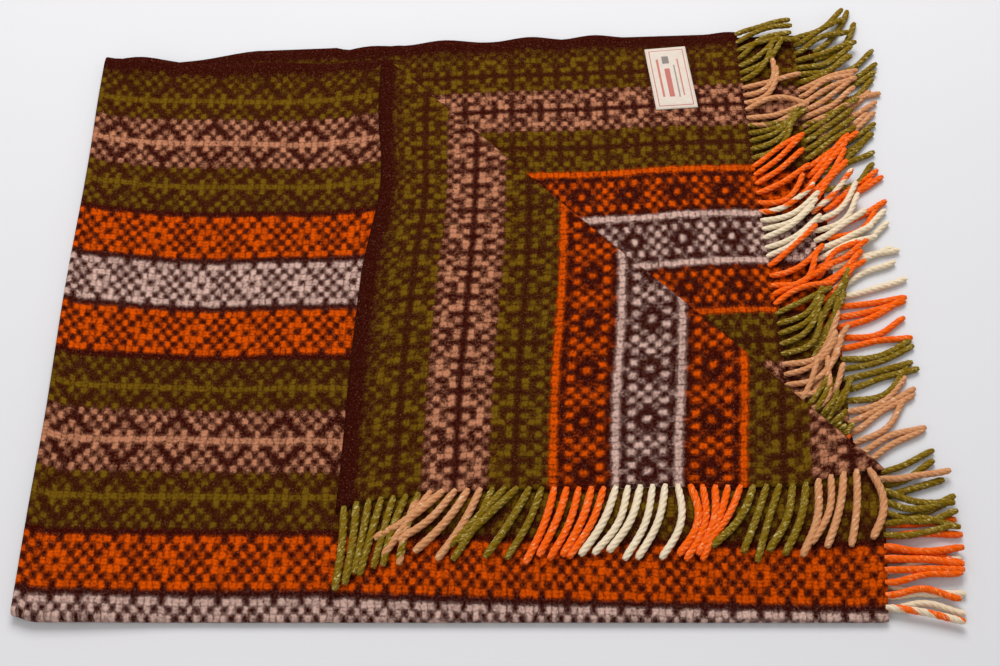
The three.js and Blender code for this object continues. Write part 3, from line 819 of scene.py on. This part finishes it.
# Yarns of the bands, counted in columns from the selvedge: 0 green, 1 tan, 2 orange, 3 cream. Strands
# within half a border's width of the next band have both yarns.
BAND_ENDS = [11, 20, 28, 36, 45, 53, 61, 70, 78, 86, 91]
BAND_YARNS = [0, 1, 0, 2, 3, 2, 0, 1, 0, 2, 3]
BORDER_HALF = 0.2


def band_yarn(column):
    from_edge = COLUMNS / 2 - abs(column - COLUMNS / 2)
    band = np.searchsorted(BAND_ENDS, from_edge, side="right").clip(0, len(BAND_YARNS) - 1)
    return BAND_YARNS[int(band)]


def end_frame(fringe, run):
    along = END_ALONG[fringe["end"]]
    pair = laid_points([along, along - np.sign(along)], fringe["angle"], run)
    if fringe["turned"]:
        pair = turned_points(pair)
    out = pair[0] - pair[1]
    out[2] = 0
    out /= np.linalg.norm(out)
    return pair[0], out, np.array([-out[1], out[0], 0])


def strand_path(fringe, run):
    first, last = fringe["runs"]
    share = (run - first) / (last - first)
    shares, roots, tips = zip(*fringe["lie"])
    loose = fringe["loose"]
    root_way = np.interp(share, shares, roots) + chance.normal(0, loose / 2)
    tip_way = np.interp(share, shares, tips) + chance.normal(0, loose)
    bow = chance.normal(0, 1.2 * loose)
    root, out, left = end_frame(fringe, run)
    length = fringe["length"] * chance.uniform(*LENGTH_SPREAD)
    parts = np.linspace(0, 1, STRAND_POINTS)
    way = lerp(root_way, tip_way, smoothstep(parts, 0.05, 0.85)) + bow * np.sin(parts * 2 * math.pi)
    way = np.radians(way)
    ahead = np.outer(np.cos(way), out) + np.outer(np.sin(way), left)
    step = (length + STRAND_ROOT) / (STRAND_POINTS - 1)
    path = root - STRAND_ROOT * out + np.concatenate([[np.zeros(3)], np.cumsum(ahead[:-1] * step, axis=0)])
    radius = STRAND_RADIUS * fringe["stout"]
    rest = lerp(*fringe["rest"], smoothstep(parts, 0.35, 0.8)) + radius + chance.uniform(*REST_SPREAD)
    heft = np.interp(parts, STRAND_SIZE_AT, STRAND_SIZE) * fringe["stout"] * chance.uniform(*SIZE_SPREAD)
    path[:, 2] = np.maximum(lerp(root[2], rest, smoothstep(parts, 0.02, 0.4)), STRAND_RADIUS * heft)
    if fringe["end"] == "inner":
        lid = lerp(UNDER_TOP, LID_OPEN, smoothstep(past_crease(path), *LID_REACH))
        path[:, 2] = np.minimum(path[:, 2], lid)
    return path, heft


def new_geometry_tree(name, paths, sizes, material, result):
    """A geometry tree with named sockets for its paths, sizes, material and result."""
    tree = bpy.data.node_groups.new(name, "GeometryNodeTree")
    face = tree.interface
    face.new_socket(paths, in_out="INPUT", socket_type="NodeSocketGeometry")
    for label, value in sizes.items():
        face.new_socket(label, in_out="INPUT", socket_type="NodeSocketFloat").default_value = value
    face.new_socket(material, in_out="INPUT", socket_type="NodeSocketMaterial")
    face.new_socket(result, in_out="OUTPUT", socket_type="NodeSocketGeometry")
    return tree, tree.nodes.new("NodeGroupInput").outputs, tree.nodes.new("NodeGroupOutput").inputs


def plied_tree():
    """Sweeps a four-lobed section along each path, turning as it goes: two yarns of two plies."""
    sizes = {
        "Strand Radius": STRAND_RADIUS * MM,
        "Turn Length": TWIST_LENGTH * MM,
        "Ring Spacing": RING_SPACING * MM,
    }
    tree, given, made = new_geometry_tree("plied_strands", "Paths", sizes, "Yarn", "Strands")
    node, calc, _ = tree_tools(tree)

    def named(name):
        found = node("GeometryNodeInputNamedAttribute", {"Name": name}, data_type="FLOAT")
        return found.outputs["Attribute"]

    def step(kind, geometry, inputs, socket="Geometry", **settings):
        return node("GeometryNode" + kind, {socket: geometry, **inputs}, **settings).outputs[0]

    def stored(geometry, name, value):
        inputs = {"Name": name, "Value": value}
        return step("StoreNamedAttribute", geometry, inputs, data_type="FLOAT", domain="POINT")

    curves = step("MeshToCurve", given["Paths"], {}, "Mesh")
    curves = step("ResampleCurve", curves, {"Length": given["Ring Spacing"]}, "Curve", mode="LENGTH")
    spot = tree.nodes.new("GeometryNodeSplineParameter").outputs["Length"]
    turns = calc("DIVIDE", spot, given["Turn Length"])
    turn = calc("MULTIPLY_ADD", turns, 2 * math.pi, named("first_turn"))
    curves = step("SetCurveNormal", curves, {}, "Curve", mode="Z_UP")
    curves = step("SetCurveTilt", curves, {"Tilt": turn}, "Curve")
    curves = stored(curves, "lie_along", spot)

    circle = {"Resolution": RING_SIDES, "Radius": 1.0}
    ring = node("GeometryNodeCurvePrimitiveCircle", circle, mode="RADIUS").outputs[0]
    spot = tree.nodes.new("GeometryNodeInputPosition").outputs[0]
    axes = node("ShaderNodeSeparateXYZ", {0: spot}).outputs
    squares = [calc("MULTIPLY", axis, axis) for axis in axes[:2]]
    lobes = calc("ABSOLUTE", calc("SUBTRACT", *squares))
    lobed = calc("MULTIPLY_ADD", lobes, LOBE_DEPTH, 1 - LOBE_DEPTH)
    size = calc("MULTIPLY", lobed, given["Strand Radius"])
    ring = stored(ring, "ply", axes[0])
    grown = node("ShaderNodeVectorMath", {0: spot, "Scale": size}, operation="SCALE").outputs[0]
    ring = step("SetPosition", ring, {"Position": grown})

    section = {"Profile Curve": ring, "Scale": named("heft"), "Fill Caps": True}
    swept = step("CurveToMesh", curves, section, "Curve")
    whole = step("RealizeInstances", step("SetShadeSmooth", swept, {}), {})
    dyed = step("SetMaterial", whole, {"Material": given["Yarn"]})
    tree.links.new(dyed, made["Strands"])
    return tree


def plain_mesh(name, path, tree, inputs):
    """Runs a geometry tree on a path once and keeps its result as a plain mesh."""
    host = linked(path.name, path)
    modifier = host.modifiers.new(name, "NODES")
    modifier.node_group = tree
    sockets = {item.name: item.identifier for item in tree.interface.items_tree if item.in_out == "INPUT"}
    for label, value in inputs.items():
        modifier[sockets[label]] = value
    graph = bpy.context.evaluated_depsgraph_get()
    mesh = bpy.data.meshes.new_from_object(host.evaluated_get(graph), depsgraph=graph)
    host.modifiers.remove(modifier)
    bpy.data.objects.remove(host)
    mesh.name = name
    return mesh


def make_fringe(fringe, tree):
    first, last = fringe["runs"]
    count = int((last - first) // STRAND_PITCH)
    spare = last - first - count * STRAND_PITCH
    runs = [first + spare / 2 + k * STRAND_PITCH for k in range(count + 1)]
    points, edges = [], []
    marks = {name: [] for name in ("heft", "first_turn", "yarn_a", "yarn_b", "strand")}
    for k, run in enumerate(runs):
        path, heft = strand_path(fringe, run)
        column = weave_column(fringe["angle"], run, END_ALONG[fringe["end"]])
        start = k * STRAND_POINTS
        points.extend(path)
        edges.extend((start + n, start + n + 1) for n in range(STRAND_POINTS - 1))
        marks["heft"].extend(heft)
        for name, value in (
            ("first_turn", chance.uniform(*FIRST_TURNS)), ("strand", k),
            ("yarn_a", band_yarn(column - BORDER_HALF)), ("yarn_b", band_yarn(column + BORDER_HALF)),
        ):
            marks[name].extend([value] * STRAND_POINTS)
    paths = bpy.data.meshes.new(fringe["name"] + "_paths")
    paths.from_pydata(in_frame(settled(points)).tolist(), edges, [])
    for name, values in marks.items():
        mark = paths.attributes.new(name, "FLOAT", "POINT")
        mark.data.foreach_set("value", np.asarray(values, np.float32))
    mesh = plain_mesh(fringe["name"], paths, tree, {"Yarn": WOOL_YARN})
    piece = linked(fringe["name"].replace("fringe", "strands"), mesh)
    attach(piece, "root")
    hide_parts(fringe["name"])
    return piece


# The label

# Plain bars woven into the label: middle and width across it, middle and length along it, colour.
LABEL_BARS = [
    (-14, 3, 0, 62, dye(188, 70, 58)),
    (-3, 7, -8, 46, dye(178, 48, 40)),
    (-3, 9, 29, 12, dye(92, 84, 84)),
    (7, 2, -6, 52, dye(128, 112, 108)),
    (13, 2, 0, 60, dye(188, 92, 80)),
]
BAR_STRENGTH, LINE_STRENGTH = 0.75, 0.8
TAPE_DYES = [dye(226, 214, 200), dye(206, 192, 178)]
LINE_DYE = dye(176, 58, 44)
THREAD_DYES = [dye(226, 212, 196), dye(196, 178, 160)]

# The label's make, in millimetres: ribs and picks of its tape, its frame line with half its width,
# the height it is sewn at, its edge, its cushion and the seam that pulls it down.
TAPE_RIB, TAPE_PICK = 0.9, 0.7
LINE_INSET, LINE_HALF = 5.0, 0.55
LABEL_SEAT = MIDDLE_LEVEL + LAYER_PITCH / 2 + CLOTH_THICK / 2 + PIECE_GAP
LABEL_EDGE = 0.35
LABEL_PUFF, LABEL_WAVE = 0.7, 0.25
SEAM_INSET, SEAM_DEPTH = 2.2, 0.1
SEAM_PULL, SEAM_PULL_REACH = 0.25, 1.2

# Points of the label's mesh each way, and steps of the seam along each side.
LABEL_GRID = (34, 61)
SEAM_STEPS = 11


def on_label(places, rise):
    """Places in the label's own millimetres, turned and set on the cloth at a height above it."""
    cosine, sine = math.cos(LABEL_TURN), math.sin(LABEL_TURN)
    flat = places @ np.array([[cosine, -sine], [sine, cosine]]).T + LABEL_AT
    level = LABEL_SEAT + np.broadcast_to(rise, flat.shape[:-1])
    return np.concatenate([flat, level[..., None]], axis=-1).reshape(-1, 3)


def label_material():
    material, tree, shader = new_material("label_weave", sheen=0.1)
    node, calc, blend = tree_tools(tree)
    place = node("ShaderNodeUVMap", uv_map="label_place")
    axes = node("ShaderNodeSeparateXYZ", {0: place.outputs["UV"]}).outputs
    ribs = calc("SINE", calc("MULTIPLY", axes[1], 2 * math.pi / TAPE_RIB))
    picks = calc("SINE", calc("MULTIPLY", axes[0], 2 * math.pi / TAPE_PICK))
    from_side = calc("SUBTRACT", LABEL_SIZE[0] / 2, calc("ABSOLUTE", axes[0]))
    from_end = calc("SUBTRACT", LABEL_SIZE[1] / 2, calc("ABSOLUTE", axes[1]))
    inset = calc("MINIMUM", from_side, from_end)
    frame_line = calc("COMPARE", inset, LINE_INSET, LINE_HALF)
    worn = node("ShaderNodeTexNoise", {"Vector": place.outputs["UV"], "Scale": 0.12, "Detail": 4.0})
    worn = worn.outputs["Fac"]
    tape = blend(worn, *TAPE_DYES)
    colour = blend(calc("MULTIPLY", frame_line, LINE_STRENGTH), tape, LINE_DYE)
    for middle, width, centre, length, shade in LABEL_BARS:
        across = calc("COMPARE", axes[0], middle, width / 2)
        bar = calc("MULTIPLY", across, calc("COMPARE", axes[1], centre, length / 2))
        colour = blend(calc("MULTIPLY", bar, BAR_STRENGTH), colour, shade)
    relief = calc("ADD", ribs, picks)
    bump = node("ShaderNodeBump", {"Strength": 0.4, "Distance": 0.2 * MM, "Height": relief})
    tree.links.new(colour, shader.inputs["Base Color"])
    tree.links.new(calc("MULTIPLY_ADD", worn, 0.2, 0.5), shader.inputs["Roughness"])
    tree.links.new(bump.outputs["Normal"], shader.inputs["Normal"])
    return material


def make_label():
    """A folded woven tape: a shallow cushion that pulls down along its sewn edge."""
    across, down = LABEL_SIZE
    ways = [np.linspace(-0.5, 0.5, count) * size for count, size in zip(LABEL_GRID, LABEL_SIZE)]
    xs, ys = np.meshgrid(*ways, indexing="ij")
    places = np.stack([xs, ys], axis=-1)
    inset = np.minimum(across / 2 - np.abs(xs), down / 2 - np.abs(ys))
    wave = LABEL_WAVE * np.sin(xs / 6.5 + ys / 15) * smoothstep(inset, 3, 14)
    puff = LABEL_PUFF * smoothstep(inset, 2, 9) + wave
    pull = SEAM_PULL * (1 - smoothstep(np.abs(inset - SEAM_INSET), 0, SEAM_PULL_REACH))
    top = np.where(inset <= 0, LABEL_EDGE, LABEL_THICK + np.maximum(puff, 0) - pull)
    points = np.concatenate([on_label(places, top), on_label(places, 0)])
    rows, columns = xs.shape
    faces = [(i * columns + j, (i + 1) * columns + j, (i + 1) * columns + j + 1, i * columns + j + 1)
             for i in range(rows - 1) for j in range(columns - 1)]
    front, back, rim = both_sides(faces, xs.size)
    mesh = bpy.data.meshes.new("sewn_label")
    mesh.from_pydata(in_frame(settled(points)).tolist(), [], front + back + rim)
    write_map(mesh, "label_place", places.reshape(-1, 2)[loop_corners(mesh) % xs.size])
    return new_piece("sewn_label", mesh, [label_material()])


def stitch_tree():
    """Lays small rounded stitches along a path."""
    sizes = {"Stitch Spacing": 3.4 * MM, "Stitch Length": 2.3 * MM, "Thread Radius": 0.38 * MM}
    tree, given, made = new_geometry_tree("running_stitches", "Seam", sizes, "Thread", "Stitches")
    node, calc, _ = tree_tools(tree)
    seam = node("GeometryNodeMeshToCurve", {"Mesh": given["Seam"]})
    spacing = {"Curve": seam.outputs[0], "Length": given["Stitch Spacing"]}
    spots = node("GeometryNodeCurveToPoints", spacing, mode="LENGTH").outputs
    grain = node("GeometryNodeMeshUVSphere", {"Segments": 6, "Rings": 5, "Radius": 1.0})
    half = calc("MULTIPLY", given["Stitch Length"], 0.5)
    thick = given["Thread Radius"]
    size = node("ShaderNodeCombineXYZ", {0: thick, 1: thick, 2: half})
    sewn = node("GeometryNodeInstanceOnPoints", {
        "Points": spots["Points"], "Instance": grain.outputs[0],
        "Rotation": spots["Rotation"], "Scale": size.outputs[0],
    })
    whole = node("GeometryNodeRealizeInstances", {"Geometry": sewn.outputs[0]})
    painted = {"Geometry": whole.outputs[0], "Material": given["Thread"]}
    dyed = node("GeometryNodeSetMaterial", painted)
    tree.links.new(dyed.outputs[0], made["Stitches"])
    return tree


def thread_material():
    material, tree, shader = new_material("label_thread", sheen=0.1)
    node, _, blend = tree_tools(tree)
    shader.inputs["Roughness"].default_value = 0.7
    place = node("ShaderNodeTexCoord").outputs["Object"]
    loose = node("ShaderNodeGroup", {"Place": place, "Fineness": 600.0}, node_tree=fuzz)
    colour = blend(loose.outputs["Mask"], *THREAD_DYES)
    tree.links.new(colour, shader.inputs["Base Color"])
    return material


def make_stitches():
    """The seam that holds the label, just inside its edge."""
    across, down = (size / 2 - SEAM_INSET for size in LABEL_SIZE)
    corners = np.array([(-across, -down), (across, -down), (across, down), (-across, down)])
    shares = np.linspace(0, 1, SEAM_STEPS + 1)[:-1]
    steps = [lerp(corners[k], corners[(k + 1) % 4], share) for k in range(4) for share in shares]
    seam = settled(on_label(np.array(steps), LABEL_THICK - SEAM_DEPTH))
    path = bpy.data.meshes.new("label_seam")
    path.from_pydata(in_frame(seam).tolist(), [(k, (k + 1) % len(seam)) for k in range(len(seam))], [])
    mesh = plain_mesh("label_stitches", path, stitch_tree(), {"Thread": thread_material()})
    mesh.shade_smooth()
    return linked("label_stitches", mesh)


# The blanket's pieces

cloth = make_cloth()
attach(cloth, "root")
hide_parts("cloth")
plied = plied_tree()
strands = [make_fringe(fringe, plied) for fringe in FRINGES]
label = make_label()
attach(label, "root")
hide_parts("label")
stitches = make_stitches()
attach(stitches, "root")


# Floor, light and camera

FLOOR_HALF = 6
PAPER_TONES = [(0.665, 0.66, 0.672, 1), (0.69, 0.685, 0.698, 1)]
STUDIO_TINT, STUDIO_STRENGTH = (1.0, 0.99, 1.0, 1), 0.5
CAMERA_AT = (0, -404, 1500)
CAMERA_TILT = math.radians(26.9)


def make_floor():
    corners = [(x * FLOOR_HALF, y * FLOOR_HALF, 0) for x, y in ((-1, -1), (1, -1), (1, 1), (-1, 1))]
    mesh = bpy.data.meshes.new("pale_floor")
    mesh.from_pydata(corners, [], [(0, 1, 2, 3)])
    material, tree, shader = new_material("pale_paper", sheen=0.0)
    node, _, blend = tree_tools(tree)
    place = node("ShaderNodeTexCoord").outputs["Object"]
    mottle = node("ShaderNodeTexNoise", {"Vector": place, "Scale": 1.4, "Detail": 2.0})
    tone = blend(mottle.outputs["Fac"], *PAPER_TONES)
    tree.links.new(tone, shader.inputs["Base Color"])
    shader.inputs["Roughness"].default_value = 0.8
    floor = new_piece("pale_floor", mesh, [material])


def soft_light(name, place, aim, size, power):
    lamp = bpy.data.lights.new(name, "AREA")
    lamp.shape = "SQUARE"
    lamp.size = size
    lamp.energy = power
    holder = linked(name, lamp)
    way = np.array(aim) - np.array(place)
    tilt = math.acos(-way[2] / np.linalg.norm(way))
    holder.location = place
    holder.rotation_euler = (tilt, 0, math.atan2(way[1], way[0]) - QUARTER_TURN)


scene = bpy.context.scene
scene.view_settings.view_transform = "Standard"
world = bpy.data.worlds.new("studio")
world.use_nodes = True
studio = world.node_tree.nodes["Background"].inputs
studio["Color"].default_value = STUDIO_TINT
studio["Strength"].default_value = STUDIO_STRENGTH
scene.world = world
make_floor()
soft_light("key", place=(0, 2.0, 2.5), aim=(0, 0.1, 0), size=1.7, power=86)
soft_light("fill", place=(-1.4, -1.0, 2.1), aim=(0, 0, 0), size=1.8, power=10)

lens = bpy.data.cameras.new("photo_camera")
lens.lens = 50
lens.sensor_width = 36
camera = linked("photo_camera", lens)
camera.location = in_frame(CAMERA_AT)
camera.rotation_euler = (CAMERA_TILT, 0, 0)
scene.camera = camera
